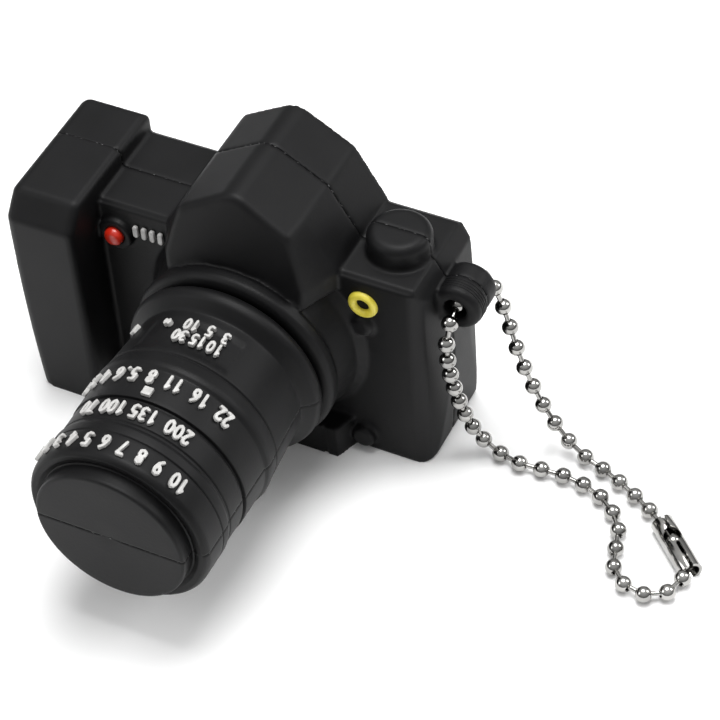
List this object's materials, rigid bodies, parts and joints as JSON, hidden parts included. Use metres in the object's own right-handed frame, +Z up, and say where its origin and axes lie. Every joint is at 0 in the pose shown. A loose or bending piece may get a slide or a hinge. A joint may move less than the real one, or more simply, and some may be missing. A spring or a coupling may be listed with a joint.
{
  "type": "usb flash drive",
  "caption": "Key-charm flash drive shaped like a reflex camera: soft two-part body, pull-off lens cap over a USB-A plug, loop of ball chain through a moulded lug.",
  "frame": {"origin": "on the underside of the body, below the lens axis, in the plane where the front and rear halves meet", "axes": "+Z up, -Y out of the lens, +X from the hand grip towards the chain lug"},
  "size_m": [0.0859, 0.0504, 0.039],
  "materials": {
    "body_pvc": "matt, soft moulded PVC",
    "lens_pvc": "matt, soft moulded PVC",
    "red_pvc": "satin, domed",
    "yellow_pvc": "satin",
    "white_pvc": "satin, puffy",
    "case_plastic": "matt",
    "plug_steel": "nickel plated",
    "tongue_plastic": "satin",
    "contact_gold": "gold plated",
    "board_laminate": "satin solder mask",
    "chip_epoxy": "matt",
    "crystal_can": "satin",
    "led_resin": "clear",
    "capacitor_ceramic": "satin",
    "resistor_ceramic": "satin",
    "socket_plastic": "satin",
    "chain_steel": "bright nickel plate"
  },
  "bodies": {
    "camera_body": {"body_front_shell": "body_pvc", "body_rear_shell": "body_pvc", "red_button": "red_pvc", "ring_emblem": "yellow_pvc", "front_marks": "white_pvc", "case_upper": "case_plastic", "case_lower": "case_plastic", "usb_plug_shell": "plug_steel", "usb_plug_tongue": "tongue_plastic", "usb_contacts": "contact_gold", "circuit_board": "board_laminate", "memory_chip": "chip_epoxy", "controller_chip": "chip_epoxy", "crystal": "crystal_can", "activity_led": "led_resin", "capacitors": "capacitor_ceramic", "resistors": "resistor_ceramic"},
    "lens_cap": {"lens_upper_half": "lens_pvc", "lens_lower_half": "lens_pvc", "plug_socket": "socket_plastic", "distance_numerals": "white_pvc", "aperture_numerals": "white_pvc", "focal_numerals": "white_pvc", "front_numerals": "white_pvc", "index_mark": "white_pvc"},
    "chain": {"ball_chain": "chain_steel", "chain_connector": "chain_steel"}
  },
  "joints": [
    {"name": "lens_cap_pull", "type": "slide", "parent": "camera_body", "child": "lens_cap", "axis": [0, -1, 0], "range_m": [0, 0.02]},
    {"name": "chain_swing", "type": "hinge", "parent": "camera_body", "child": "chain", "pos_m": [0.0236, 0, 0.0241], "axis": [0, -1, 0], "range_deg": [0, 100]}
  ]
}
